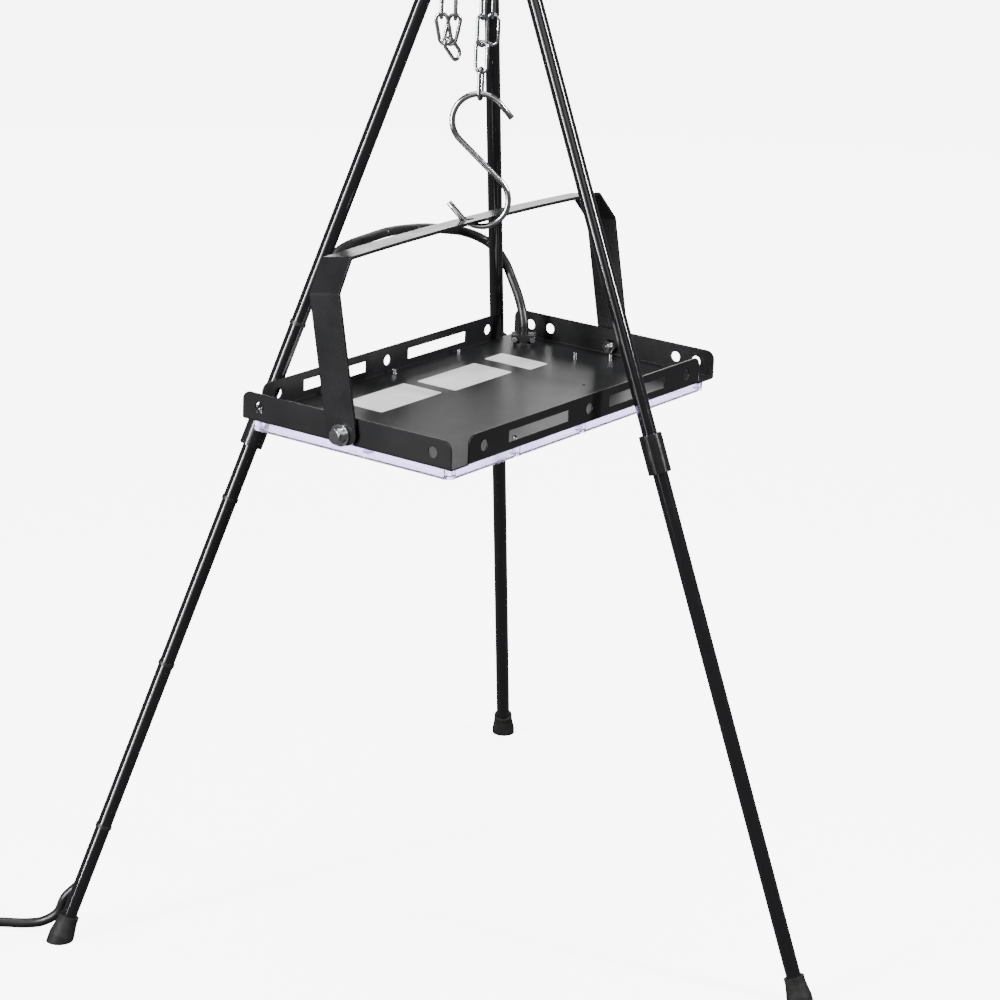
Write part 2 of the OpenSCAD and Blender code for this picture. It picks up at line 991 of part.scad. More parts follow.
module clamp_screws() {
  color("#c9ccd0")
  clamp_frame()
    for (side = [-1, 1]) {
      translate([side * 9.5, -7.2, 7.5])
        rotate([-90, 0, 0]) {
          translate([0, 0, -2.4])
            cylinder(d = 5.8, h = 2.4, $fn = 24);
          cylinder(d = 3, h = 17.5, $fn = 24);
        }
    }
}

module clamp_lock_nut() {
  color("#c9ccd0")
  clamp_frame()
    translate([0, 0, -sheet_t - 4])
    difference() {
      union() {
        cylinder(d = 20, h = 4);
        for (k = [0 : 7]) {
          rotate([0, 0, 45 * k])
            translate([8, -1.6, 0])
            cube([3.4, 3.2, 4]);
        }
      }
      translate([0, 0, -1])
        cylinder(d = 14 + 2 * gap, h = 6);
    }
}

// Cord

function unit(v) = v / norm(v);
function bez(p, i, t) =
  let (a = p[max(i - 1, 0)], b = p[i], c = p[i + 1], d = p[min(i + 2, len(p) - 1)])
  0.5 * ((2 * b) + (c - a) * t + (2 * a - 5 * b + 4 * c - d) * t * t + (3 * b - a - 3 * c + d) * t * t * t);
function path_of(p, k) = [for (i = [0 : len(p) - 2]) for (j = [0 : k - 1]) bez(p, i, j / k), p[len(p) - 1]];
function carry(tans, n, i) =
  i == 0 ? [n] : let (c = carry(tans, n, i - 1), v = c[i - 1] - (c[i - 1] * tans[i]) * tans[i])
  concat(c, [unit(v)]);

module tube(pts, d, sides, n0) {
  m = len(pts);
  tans = [for (i = [0 : m - 1]) unit(pts[min(i + 1, m - 1)] - pts[max(i - 1, 0)])];
  start = unit(n0 - (n0 * tans[0]) * tans[0]);
  norms = carry(tans, start, m - 1);
  rings = [for (i = [0 : m - 1]) for (k = [0 : sides - 1])
    pts[i] + d / 2 * (cos(360 * k / sides) * norms[i] + sin(360 * k / sides) * cross(tans[i], norms[i]))];
  sidesFaces = [for (i = [0 : m - 2]) for (k = [0 : sides - 1]) for (h = [0, 1])
    let (a = i * sides + k, b = i * sides + (k + 1) % sides)
    h == 0 ? [a, a + sides, b] : [b, a + sides, b + sides]];
  ends = [[for (k = [0 : sides - 1]) k], [for (k = [sides - 1 : -1 : 0]) (m - 1) * sides + k]];
  polyhedron(points = rings, faces = concat(sidesFaces, ends), convexity = 10);
}

// Free stretch from the clamp on the lamp to the back of the left leg, from the tripod's middle
free_at = [[165, 56, 546], [165, 56, 556], [165, 56, 566], [165.3, 56.5, 575], [167.5, 61, 587], [172, 70, 601], [176, 82, 617],
  [177, 92, 632], [172, 103, 647], [160, 114, 658], [138, 121, 668], [110, 123, 675], [78, 122, 682],
  [44, 119, 687], [5, 115, 691], [-43, 106, 693], [-80, 99, 693.5], [-102, 95.5, 690], [-120, 93.5, 683],
  [-129.5, 93.5, 676.5], [-137, 94, 668]];

cord_low = cord_d / 2;
cord_side = tube_d / 2 + cord_low + 0.3;
away_x = cos(view_az + 90);
away_y = sin(view_az + 90);
side_x = 0.37;
side_y = -0.929;
leg_dir = [sin(lean) * cos(az_left), sin(lean) * sin(az_left), -cos(lean)];
leg_in = [-cos(lean) * cos(az_left), -cos(lean) * sin(az_left), -sin(lean)];
leg_left = [-sin(az_left), cos(az_left), 0];
function by_leg(s, out) = [0, 0, apex_z] + s * leg_dir + out * (side_x * leg_in + side_y * leg_left);
foot_at = [foot_r * cos(az_left), foot_r * sin(az_left), 0];
function on_floor(along, out, z) = foot_at
  + [away_x * out - cos(view_az) * along, away_y * out - sin(view_az) * along, z];
cord_join_s = 490;
past_sleeve = sleeve_d / 2 + cord_low + 0.3;

module cord_free() {
  color("#161616")
  tube([for (p = concat(path_of(concat(free_at, [by_leg(cord_join_s - 10, cord_side)]), 3),
    [by_leg(cord_join_s - 5, cord_side), by_leg(cord_join_s - 0.2, cord_side)]))
    p + [0, axis_y, 0]], cord_d, 10, [1, 0, 0]);
}

leg_path = concat(
  [for (s = [cord_join_s, 500, 525, 552, 575]) by_leg(s, cord_side)],
  [by_leg(sleeve_s - 8, past_sleeve), by_leg(sleeve_s + sleeve_len / 2, past_sleeve),
    by_leg(sleeve_s + sleeve_len + 8, past_sleeve)],
  [for (s = [675, 700, 800, 900, 1000, 1080]) by_leg(s, cord_side)],
  [by_leg(1108, cord_side + 0.5), by_leg(1128, cord_side + 2)],
  [on_floor(-3, 21.5, 38), on_floor(5, 22.5, 20), on_floor(20, 23, 9.5), on_floor(38, 23, cord_low + 1.5),
    on_floor(60, 23, cord_low + 1.5), on_floor(110, 23, cord_low + 1.5), on_floor(135, 23, cord_low + 1.5)]);

module cord_leg() {
  color("#161616")
  tube([for (p = path_of(leg_path, 3)) p + [0, axis_y, 0]], cord_d, 10, [1, 0, 0]);
}

// Bands that hold the cord to the left leg
tie_s = [512, 700, 880, foot_s - 102];
tie_t = 0.7;

module leg_cord_ties() {
  color("#1a1a1a")
  for (s = tie_s) {
    translate([0, axis_y, apex_z])
      rotate([0, 0, az_left])
      rotate([0, 180 - lean, 0])
      rotate([0, 0, atan2(side_y, side_x)])
      translate([0, 0, s])
      union() {
        linear_extrude(3.6)
          difference() {
            hull() {
              circle(d = tube_d + 0.3 + 2 * tie_t);
              translate([cord_side, 0])
                circle(d = cord_d + 0.3 + 2 * tie_t);
            }
            hull() {
              circle(d = tube_d + 0.3);
              translate([cord_side, 0])
                circle(d = cord_d + 0.3);
            }
          }
        translate([cord_side + cord_low + 0.4, -2.5, -0.6])
          cube([3, 5, 4.8]);
      }
  }
}

// Coil on the floor past the left foot, wound in two layers
coil_rise = cord_d + 0.5;
coil_step = cord_d + 0.8;
coil_low = cord_low + 1.5;
coil_in = coil_d / 2 - coil_step;
coil_out = coil_in + 2 * coil_step;
climb = 720;
wind_end = 1530;
function coil_r(t) = t < climb ? coil_out - coil_step * t / 360
  : t < climb + 180 ? coil_in - 2.6 * sin(t - climb)
  : coil_in + coil_step * (t - climb - 180) / 360;
function coil_z(t) = t < climb ? coil_low
  : t < climb + 180 ? coil_low + coil_rise * (1 - cos(t - climb)) / 2
  : coil_low + coil_rise;
coil_turn = [for (t = [0 : 15 : wind_end]) [coil_r(t) * cos(t), coil_r(t) * sin(t), coil_z(t)]];
coil_last = coil_r(wind_end);
coil_tail = [[-12, coil_last, coil_low + coil_rise], [-24, coil_last, coil_low + coil_rise],
  [-36, coil_last, coil_low + coil_rise - 1], [-48, coil_last, coil_low + coil_rise - 3.5],
  [-60, coil_last, coil_low + coil_rise - 4.5], [-72, coil_last, 13], [-84, coil_last, 13], [-94, coil_last, 13]];
coil_pts = concat([[coil_out, -10, coil_low], [coil_out, -4, coil_low]], coil_turn, coil_tail);
coil_gap = min([for (i = [0 : len(coil_pts) - 1]) for (j = [i + 12 : 1 : len(coil_pts) - 1])
  norm(coil_pts[i] - coil_pts[j])]) - cord_d;
echo(coil_gap = coil_gap);

module coil_frame() {
  c = on_floor(145, 23 - coil_out, 0);
  translate(c + [0, axis_y, 0])
    rotate([0, 0, view_az + 90])
    children();
}

module cord_coil() {
  color("#161616")
  coil_frame()
    tube(coil_pts, cord_d, 6, [0, 0, 1]);
}

module coil_tie() {
  r0 = coil_r(630) - cord_low - 0.7;
  r1 = coil_r(270) + cord_low + 0.7;
  z1 = coil_low + coil_rise + cord_low + 0.4;
  color("#1a1a1a")
  coil_frame()
    translate([0, -r1 - 1.2, 0])
    difference() {
      translate([-3, 0, 0])
        cube([6, r1 - r0 + 2.4, z1 + 1.2]);
      translate([-4, 1.2, 1.1])
        cube([8, r1 - r0, z1 - 1.1]);
    }
}

plug_z = 13;

module plug_frame() {
  coil_frame()
    translate([-94, coil_last, plug_z])
    rotate([0, -90, 0])
    children();
}

module cord_plug() {
  color("#161616")
  plug_frame()
    union() {
      cylinder(r1 = 6, r2 = 8.5, h = 24);
      translate([0, 0, 24])
        cylinder(r1 = 8.5, r2 = 12.8, h = 5);
      translate([0, 0, 29])
        difference() {
          cylinder(r = 12.8, h = 26);
          for (side = [-1, 1]) {
            translate([-3.3, side * 6.35 - 0.85, 18])
              cube([6.6, 1.7, 10]);
          }
        }
    }
}

module plug_pins() {
  color("#d8d8d8")
  plug_frame()
    translate([0, 0, 55])
    union() {
      for (side = [-1, 1]) {
        translate([-3.2, side * 6.35 - 0.75, -8])
          cube([6.4, 1.5, 25]);
      }
    }
}

hub_plate();
hub_pivot_bolts();
hub_pivot_nuts();
chain_eye();
chain_eye_nut();
slack_eye();
slack_eye_nut();
tail_eye();
tail_eye_nut();
leg_left_eye();
leg_left_upper_tube();
leg_left_sleeve();
leg_left_lower_tube();
leg_left_foot();
leg_right_eye();
leg_right_upper_tube();
leg_right_sleeve();
leg_right_lower_tube();
leg_right_foot();
leg_rear_eye();
leg_rear_upper_tube();
leg_rear_sleeve();
leg_rear_lower_tube();
leg_rear_foot();
load_chain();
slack_chain();
tail_chain();
s_hook();
yoke();
lamp_tray();
pivot_bolts();
pivot_washers();
pivot_spring_washers();
pivot_spacers();
pivot_nuts();
led_board();
led_chips();
driver_parts();
cover_gasket();
clear_cover();
cover_screws();
board_screws();
clamp_body();
clamp_bar();
clamp_screws();
clamp_lock_nut();
cord_free();
cord_leg();
leg_cord_ties();
cord_coil();
coil_tie();
cord_plug();
plug_pins();
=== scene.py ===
import json
import math
import bpy
from mathutils import Matrix, Vector


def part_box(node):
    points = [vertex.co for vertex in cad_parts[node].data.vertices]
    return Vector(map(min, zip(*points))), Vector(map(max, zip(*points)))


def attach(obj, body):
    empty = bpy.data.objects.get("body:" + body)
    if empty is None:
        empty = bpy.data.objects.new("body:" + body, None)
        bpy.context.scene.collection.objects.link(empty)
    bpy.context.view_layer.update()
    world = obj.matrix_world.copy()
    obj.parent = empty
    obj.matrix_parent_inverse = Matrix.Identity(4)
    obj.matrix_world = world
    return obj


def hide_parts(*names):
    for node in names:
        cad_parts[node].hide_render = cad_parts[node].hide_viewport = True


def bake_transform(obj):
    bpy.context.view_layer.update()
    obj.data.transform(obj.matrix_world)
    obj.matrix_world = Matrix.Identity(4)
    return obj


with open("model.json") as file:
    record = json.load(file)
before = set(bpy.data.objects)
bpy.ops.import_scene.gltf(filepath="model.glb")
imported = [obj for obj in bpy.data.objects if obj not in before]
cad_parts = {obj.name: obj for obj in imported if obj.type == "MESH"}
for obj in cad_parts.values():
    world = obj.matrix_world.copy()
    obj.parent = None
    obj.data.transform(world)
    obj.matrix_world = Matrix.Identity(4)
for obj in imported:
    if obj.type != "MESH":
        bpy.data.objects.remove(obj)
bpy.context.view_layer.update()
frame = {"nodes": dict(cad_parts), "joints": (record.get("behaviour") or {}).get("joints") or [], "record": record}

nodes = frame["nodes"]
jointPlace = {joint["name"]: Vector(joint["pos_m"]) for joint in frame["joints"]}

# where the photograph was taken from, worked out from the leg lines and the tray corners.
# lengths are in metres and angles in degrees, but the focal length is in pixels of the square
# picture and the sensor in millimetres
camera = {
    "away": 3.0993,
    "height": 1.4264,
    "side": 36.9315,
    "turn": 0.6235,
    "down": 17.8223,
    "roll": 2.0581,
    "focal": 3168.8,
    "pixels": 1000,
    "sensor": 36,
    "reach": 50,
}
tripod = {
    "middleY": 0.108857,
    "apex": 1.108,
    "footRadius": 0.434,
    "leftAzimuth": 150,
    "viewAzimuth": -53.5,
}


def makeCamera():
    side = math.radians(camera["side"])
    heading = side - math.radians(camera["turn"])
    down = math.radians(camera["down"])
    roll = math.radians(camera["roll"])
    place = Vector((-camera["away"] * math.cos(side),
                    tripod["middleY"] - camera["away"] * math.sin(side), camera["height"]))
    forward = Vector((math.cos(heading) * math.cos(down), math.sin(heading) * math.cos(down),
                      -math.sin(down)))
    right = Vector((math.sin(heading), -math.cos(heading), 0))
    up = right.cross(forward)
    rightRolled = math.cos(roll) * right + math.sin(roll) * up
    upRolled = -math.sin(roll) * right + math.cos(roll) * up
    data = bpy.data.cameras.new("photoCamera")
    data.sensor_width = camera["sensor"]
    data.lens = camera["focal"] / camera["pixels"] * camera["sensor"]
    data.clip_end = camera["reach"]
    obj = bpy.data.objects.new("photoCamera", data)
    bpy.context.collection.objects.link(obj)
    turn = Matrix((rightRolled, upRolled, -forward)).transposed().to_4x4()
    obj.matrix_world = Matrix.Translation(place) @ turn
    bpy.context.scene.camera = obj
    print("camera placed")


makeCamera()

# surfaces: what each paint is made of, in metres where it is a length.
# mottle is a noise scale with a low and a high color, vary a noise scale with a low and a high
# roughness, and bump a noise scale with a height and a strength
noiseDetail = {"mottle": 4.0, "vary": 5.0, "bump": 3.0}
noiseSpread = {"mottle": (0.32, 0.68), "vary": (0.3, 0.7)}
coatRough = 0.06
edgeSamples = 6
# how the painted rim shade on plated steel fades in with the facing angle
rimShadeLook = {"blend": 0.5, "starts": 0.42, "full": 0.85}
paintLooks = {
    # gloss black enamel of the tubes
    "tube": {
        "name": "tubeEnamel", "color": (0.007, 0.007, 0.008), "rough": 0.1, "coat": 0.6,
        "edge": 0.0006, "vary": (60, 0.07, 0.15), "bump": (260, 0.00012, 0.12),
    },
    "sleeve": {
        "name": "sleevePlastic", "color": (0.01, 0.01, 0.011), "rough": 0.2, "coat": 0.3,
        "edge": 0.0009, "vary": (90, 0.14, 0.26), "bump": (420, 0.0001, 0.12),
    },
    # baked satin paint of the folded tray
    "tray": {
        "name": "trayPaint", "color": (0.011, 0.011, 0.012), "rough": 0.3, "shine": 0.36,
        "edge": 0.0007, "mottle": (22, (0.010, 0.010, 0.011), (0.013, 0.013, 0.014)),
        "vary": (30, 0.29, 0.34), "bump": (1500, 0.00003, 0.1),
    },
    "bar": {
        "name": "barPaint", "color": (0.01, 0.01, 0.011), "rough": 0.3, "shine": 0.4,
        "edge": 0.0008, "mottle": (30, (0.009, 0.009, 0.010), (0.013, 0.013, 0.014)),
        "vary": (40, 0.24, 0.3), "bump": (1200, 0.00003, 0.1),
    },
    # bright plated steel, with painted shade darkening its rims where the surface turns away from the view
    "bright": {
        "name": "brightPlate", "color": (0.72, 0.73, 0.75), "rough": 0.14, "metal": 1.0,
        "edge": 0.0003, "mottle": (160, (0.62, 0.63, 0.65), (0.84, 0.85, 0.87)),
        "rimShade": (0.07, 0.07, 0.075), "vary": (240, 0.08, 0.2), "bump": (500, 0.00004, 0.2),
    },
    "rubber": {
        "name": "footRubber", "color": (0.012, 0.012, 0.012), "rough": 0.6, "shine": 0.22,
        "edge": 0.0009, "mottle": (120, (0.009, 0.009, 0.009), (0.02, 0.02, 0.019)),
        "vary": (150, 0.5, 0.72), "bump": (1800, 0.00015, 0.4),
    },
    "jacket": {
        "name": "cordJacket", "color": (0.012, 0.012, 0.013), "rough": 0.34,
        "mottle": (90, (0.009, 0.009, 0.010), (0.017, 0.017, 0.018)),
        "vary": (70, 0.26, 0.42), "bump": (700, 0.0001, 0.25),
    },
    "plastic": {
        "name": "blackPlastic", "color": (0.013, 0.013, 0.014), "rough": 0.36,
        "edge": 0.0005, "vary": (130, 0.28, 0.46), "bump": (900, 0.0001, 0.3),
    },
    "board": {
        "name": "boardWhite", "color": (0.7, 0.7, 0.68), "rough": 0.3,
        "mottle": (70, (0.62, 0.63, 0.6), (0.78, 0.78, 0.75)),
        "vary": (100, 0.22, 0.4), "bump": (1000, 0.00005, 0.2),
    },
    "resin": {
        "name": "chipResin", "color": (0.75, 0.66, 0.3), "rough": 0.15, "coat": 0.5,
        "mottle": (300, (0.62, 0.52, 0.2), (0.82, 0.74, 0.4)), "vary": (200, 0.1, 0.25),
    },
    "clear": {
        "name": "clearCover", "color": (0.76, 0.7, 0.94), "rough": 0.08, "through": 0.92, "bends": 1.49,
        "vary": (60, 0.04, 0.14), "bump": (120, 0.0001, 0.15),
    },
    "brass": {
        "name": "pinMetal", "color": (0.7, 0.64, 0.48), "rough": 0.22, "metal": 1.0,
        "mottle": (200, (0.6, 0.55, 0.4), (0.78, 0.72, 0.56)), "vary": (260, 0.14, 0.32),
    },
    "label": {
        "name": "labelVinyl", "color": (0.8, 0.8, 0.79), "rough": 0.38,
        "mottle": (60, (0.74, 0.74, 0.73), (0.85, 0.85, 0.84)),
        "vary": (120, 0.3, 0.5), "bump": (900, 0.00004, 0.2),
    },
}
# which setting of a paint goes into which input of its shader
shaderInputs = {
    "rough": "Roughness",
    "metal": "Metallic",
    "coat": "Coat Weight",
    "shine": "Specular IOR Level",
    "through": "Transmission Weight",
    "bends": "IOR",
}


def newSurface(look):
    paint = bpy.data.materials.new(look["name"])
    paint.use_nodes = True
    tree = paint.node_tree
    shader = tree.nodes["Principled BSDF"]
    shader.inputs["Base Color"].default_value = (*look["color"], 1)
    shader.inputs["Coat Roughness"].default_value = coatRough
    for setting, name in shaderInputs.items():
        if setting in look:
            shader.inputs[name].default_value = look[setting]
    place = tree.nodes.new("ShaderNodeTexCoord")
    return {"paint": paint, "tree": tree, "shader": shader, "place": place.outputs["Object"],
            "normal": None}


def addNoise(surface, scale, detail):
    tree = surface["tree"]
    noise = tree.nodes.new("ShaderNodeTexNoise")
    noise.inputs["Scale"].default_value = scale
    noise.inputs["Detail"].default_value = detail
    tree.links.new(surface["place"], noise.inputs["Vector"])
    return noise.outputs["Fac"]


def mottle(surface, scale, low, high):
    tree = surface["tree"]
    ramp = tree.nodes.new("ShaderNodeValToRGB")
    for stop, place, color in zip(ramp.color_ramp.elements, noiseSpread["mottle"], (low, high)):
        stop.position = place
        stop.color = (*color, 1)
    tree.links.new(addNoise(surface, scale, noiseDetail["mottle"]), ramp.inputs["Fac"])
    tree.links.new(ramp.outputs["Color"], surface["shader"].inputs["Base Color"])


def paintedRimShade(surface, rimShade):
    # painted shade: plated steel goes dark where it turns away, its base colour and specular tint blended toward
    # the rim colour by how far the surface faces away from the view
    tree = surface["tree"]
    color = surface["shader"].inputs["Base Color"]
    middle = color.links[0].from_socket
    facing = tree.nodes.new("ShaderNodeLayerWeight")
    facing.inputs["Blend"].default_value = rimShadeLook["blend"]
    spread = tree.nodes.new("ShaderNodeMapRange")
    spread.inputs["From Min"].default_value = rimShadeLook["starts"]
    spread.inputs["From Max"].default_value = rimShadeLook["full"]
    tree.links.new(facing.outputs["Facing"], spread.inputs["Value"])
    # a color mix has its factor at input 0, its colors at inputs 6 and 7 and its result at output 2
    blend = tree.nodes.new("ShaderNodeMix")
    blend.data_type = "RGBA"
    blend.inputs[7].default_value = (*rimShade, 1)
    tree.links.new(spread.outputs["Result"], blend.inputs[0])
    tree.links.new(middle, blend.inputs[6])
    tree.links.new(blend.outputs[2], color)
    surface["shader"].inputs["Specular Tint"].default_value = (*rimShade, 1)


def varyRough(surface, scale, low, high):
    tree = surface["tree"]
    spread = tree.nodes.new("ShaderNodeMapRange")
    spread.inputs["From Min"].default_value = noiseSpread["vary"][0]
    spread.inputs["From Max"].default_value = noiseSpread["vary"][1]
    spread.inputs["To Min"].default_value = low
    spread.inputs["To Max"].default_value = high
    tree.links.new(addNoise(surface, scale, noiseDetail["vary"]), spread.inputs["Value"])
    tree.links.new(spread.outputs["Result"], surface["shader"].inputs["Roughness"])


def useNormal(surface, normal):
    surface["normal"] = normal
    surface["tree"].links.new(normal, surface["shader"].inputs["Normal"])


def addBump(surface, scale, height, strength):
    tree = surface["tree"]
    bump = tree.nodes.new("ShaderNodeBump")
    bump.inputs["Strength"].default_value = strength
    bump.inputs["Distance"].default_value = height
    tree.links.new(addNoise(surface, scale, noiseDetail["bump"]), bump.inputs["Height"])
    if surface["normal"]:
        tree.links.new(surface["normal"], bump.inputs["Normal"])
    useNormal(surface, bump.outputs["Normal"])


def softEdges(surface, radius):
    edge = surface["tree"].nodes.new("ShaderNodeBevel")
    edge.samples = edgeSamples
    edge.inputs["Radius"].default_value = radius
    useNormal(surface, edge.outputs["Normal"])


def mixPaint(look):
    surface = newSurface(look)
    if "edge" in look:
        softEdges(surface, look["edge"])
    if "mottle" in look:
        mottle(surface, *look["mottle"])
    if "rimShade" in look:
        paintedRimShade(surface, look["rimShade"])
    if "vary" in look:
        varyRough(surface, *look["vary"])
    if "bump" in look:
        addBump(surface, *look["bump"])
    return surface


paints = {key: mixPaint(look)["paint"] for key, look in paintLooks.items()}
print("paints mixed:", len(paints))

slotPaint = {
    "black_steel": "tube",
    "bright_steel": "bright",
    "foot_rubber": "rubber",
    "cord_rubber": "jacket",
    "tie_plastic": "plastic",
    "board_white": "board",
    "chip_resin": "resin",
    "clear_plastic": "clear",
    "pin_metal": "brass",
}
ownPaint = {
    "lamp_tray": "tray",
    "yoke": "bar",
    "hub_plate": "bar",
    "leg_left_sleeve": "sleeve",
    "leg_right_sleeve": "sleeve",
    "leg_rear_sleeve": "sleeve",
}


def paintNodes():
    slots = {part["node"]: part["material_slot"] for part in frame["record"]["subparts"]}
    for name, obj in nodes.items():
        paint = paints[ownPaint.get(name, slotPaint[slots[name]])]
        if obj.data.materials:
            for index in range(len(obj.data.materials)):
                obj.data.materials[index] = paint
        else:
            obj.data.materials.append(paint)
    print("solids painted:", len(nodes))


paintNodes()

# mesh helpers
# a direction counts as parallel to another, or as upright, past these cosines
parallel = 0.98
upright = 0.9
# points of a path that lie closer than this are one point
closest = 0.0004


def newObject(name, points, faces, paint, smooth=True):
    mesh = bpy.data.meshes.new(name)
    mesh.from_pydata([tuple(p) for p in points], [], faces)
    mesh.update()
    if smooth:
        mesh.polygons.foreach_set("use_smooth", [True] * len(mesh.polygons))
    mesh.materials.append(paint)
    obj = bpy.data.objects.new(name, mesh)
    bpy.context.collection.objects.link(obj)
    return obj


def smoothPath(points, steps):
    # a smooth curve through all the points, with that many steps between neighbours
    path = []
    for i in range(len(points) - 1):
        a, b = points[max(i - 1, 0)], points[i]
        c, d = points[i + 1], points[min(i + 2, len(points) - 1)]
        for j in range(steps):
            t = j / steps
            path.append(0.5 * (2 * b + (c - a) * t + (2 * a - 5 * b + 4 * c - d) * t * t
                               + (3 * b - a - 3 * c + d) * t * t * t))
    path.append(points[-1])
    return path


def pathLength(path):
    return sum((path[i + 1] - path[i]).length for i in range(len(path) - 1))


def cutPath(path, marks):
    # the path in pieces, cut at those distances along it
    pieces, piece, run = [], [path[0]], 0
    marks = list(marks)
    for here, ahead in zip(path, path[1:]):
        step = (ahead - here).length
        while marks and run + step >= marks[0]:
            at = here.lerp(ahead, (marks[0] - run) / step)
            pieces.append(piece + [at])
            piece = [at]
            marks.pop(0)
        piece.append(ahead)
        run += step
    return pieces + [piece]


def pointAlong(path, distance):
    for here, ahead in zip(path, path[1:]):
        step = (ahead - here).length
        if distance <= step:
            return here.lerp(ahead, distance / step)
        distance -= step
    return path[-1]


def thinPath(path):
    kept = [path[0]]
    for point in path[1:]:
        if (point - kept[-1]).length > closest:
            kept.append(point)
    return kept


def sweep(path, radius, sides, closed=False):
    # a tube round the points of path. radius is a number, or a function of the point's index
    points, faces = [], []
    count = len(path)
    across = Vector((1, 0, 0))
    for i, here in enumerate(path):
        ahead = path[(i + 1) % count] if closed else path[min(i + 1, count - 1)]
        behind = path[i - 1] if closed or i else path[0]
        along = (ahead - behind).normalized()
        if abs(across.dot(along)) > parallel:
            across = Vector((0, 0, 1)) if abs(along.z) < upright else Vector((0, 1, 0))
        across = (across - across.dot(along) * along).normalized()
        other = along.cross(across)
        size = radius(i) if callable(radius) else radius
        for k in range(sides):
            turn = 2 * math.pi * k / sides
            points.append(here + size * (math.cos(turn) * across + math.sin(turn) * other))
    rows = count if closed else count - 1
    for i in range(rows):
        for k in range(sides):
            a = i * sides + k
            b = i * sides + (k + 1) % sides
            c = ((i + 1) % count) * sides
            faces.append((a, b, c + (k + 1) % sides, c + k))
    if not closed:
        faces.append(tuple(reversed(range(sides))))
        faces.append(tuple((count - 1) * sides + k for k in range(sides)))
    return points, faces


def joinMeshes(parts):
    points, faces = [], []
    for corners, skin in parts:
        faces += [tuple(len(points) + v for v in face) for face in skin]
        points += corners
    return points, faces


# cords: one free stretch that crosses the joints, and one down the leg to the coil and plug.
# inward and sideways together say on which side of the leg the cord lies
cordLook = {
    "thick": 0.010,
    "sides": 16,
    "smooth": 8,
    "inward": 0.37,
    "sideways": -0.929,
    "beside": 0.0128,
    "pastSleeve": 0.0168,
    "joinAt": 0.490,
    "leadIn": 0.010,
    "cuts": (0.130, 0.191, 0.252, 0.313),
    "settle": 0.008,
    "bentBy": 0.088,
}
freeRoute = [
    (0.165, 0.056, 0.546), (0.165, 0.056, 0.556), (0.165, 0.056, 0.566), (0.1653, 0.0565, 0.575),
    (0.1675, 0.061, 0.587), (0.172, 0.070, 0.601), (0.176, 0.082, 0.617), (0.177, 0.092, 0.632),
    (0.175, 0.1055, 0.647), (0.1635, 0.1165, 0.658), (0.140, 0.1225, 0.668), (0.110, 0.123, 0.675),
    (0.078, 0.122, 0.682), (0.044, 0.119, 0.687), (0.005, 0.115, 0.691), (-0.043, 0.106, 0.693),
    (-0.080, 0.099, 0.6935), (-0.102, 0.0955, 0.690), (-0.120, 0.0935, 0.683),
    (-0.1295, 0.0935, 0.6765), (-0.137, 0.094, 0.668),
]
crossings = [
    ("lamp", "bracket"),
    ("bracket", "hook"),
    ("hook", "chain"),
    ("chain", "hub"),
    ("hub", "leg_left"),
]
lean = math.atan(tripod["footRadius"] / tripod["apex"])
leftTurn = math.radians(tripod["leftAzimuth"])
viewTurn = math.radians(tripod["viewAzimuth"])
legDown = Vector((math.sin(lean) * math.cos(leftTurn), math.sin(lean) * math.sin(leftTurn),
                  -math.cos(lean)))
legInward = Vector((-math.cos(lean) * math.cos(leftTurn), -math.cos(lean) * math.sin(leftTurn),
                    -math.sin(lean)))
legSide = Vector((-math.sin(leftTurn), math.cos(leftTurn), 0))
middle = Vector((0, tripod["middleY"], 0))
# directions over the floor as the photograph shows them, away and to the left
viewAway = Vector((-math.sin(viewTurn), math.cos(viewTurn), 0))
viewLeft = Vector((-math.cos(viewTurn), -math.sin(viewTurn), 0))


def byLeg(down, out):
    sideways = cordLook["inward"] * legInward + cordLook["sideways"] * legSide
    return middle + Vector((0, 0, tripod["apex"])) + down * legDown + out * sideways


def onFloor(along, out, up):
    foot = Vector((math.cos(leftTurn), math.sin(leftTurn), 0)) * tripod["footRadius"]
    return middle + foot + viewAway * out + viewLeft * along + Vector((0, 0, up))


def makeFreeCord():
    join, side, settle = cordLook["joinAt"], cordLook["beside"], cordLook["settle"]
    leadIn = cordLook["leadIn"]
    route = [middle + Vector(p) for p in freeRoute]
    path = smoothPath(route + [byLeg(join - leadIn, side)], cordLook["smooth"])
    path += [byLeg(join - leadIn / 2, side), byLeg(join, side)]
    pieces = cutPath(thinPath(path), cordLook["cuts"])
    total = 0
    for index, (piece, crossing) in enumerate(zip(pieces, crossings)):
        piece = thinPath(piece)
        points, faces = sweep(piece, cordLook["thick"] / 2, cordLook["sides"])
        obj = newObject(f"cordRun{index + 1}", points, faces, paints["jacket"])
        long = pathLength(piece)
        # where each piece's bend would start and end is worked out but not used; near the lamp the bend is over
        # before the cord nears the rear leg
        turned = cordLook["bentBy"] if index == 0 else long - settle
        pointAlong(piece, settle)
        pointAlong(piece, turned)
        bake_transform(obj)
        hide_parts("cord_free")
        total += long
    print("free cord, metres:", round(total, 3))
    return total


# the cord's way down the leg: distances along it, the same past the sleeve and below it, then
# along, out and up on the floor
legRoute = {
    "aboveSleeve": (0.490, 0.500, 0.525, 0.552, 0.575),
    "pastSleeve": (0.597, 0.6245, 0.652),
    "belowSleeve": (0.675, 0.700, 0.800, 0.900, 1.000, 1.080),
    "byFoot": ((1.108, 0.0005), (1.128, 0.002)),
    "toFloor": ((-0.003, 0.0215, 0.038), (0.005, 0.0225, 0.020), (0.020, 0.023, 0.0095)),
    "floorOut": 0.023,
    "floorAlong": (0.038, 0.060, 0.110, 0.135),
}
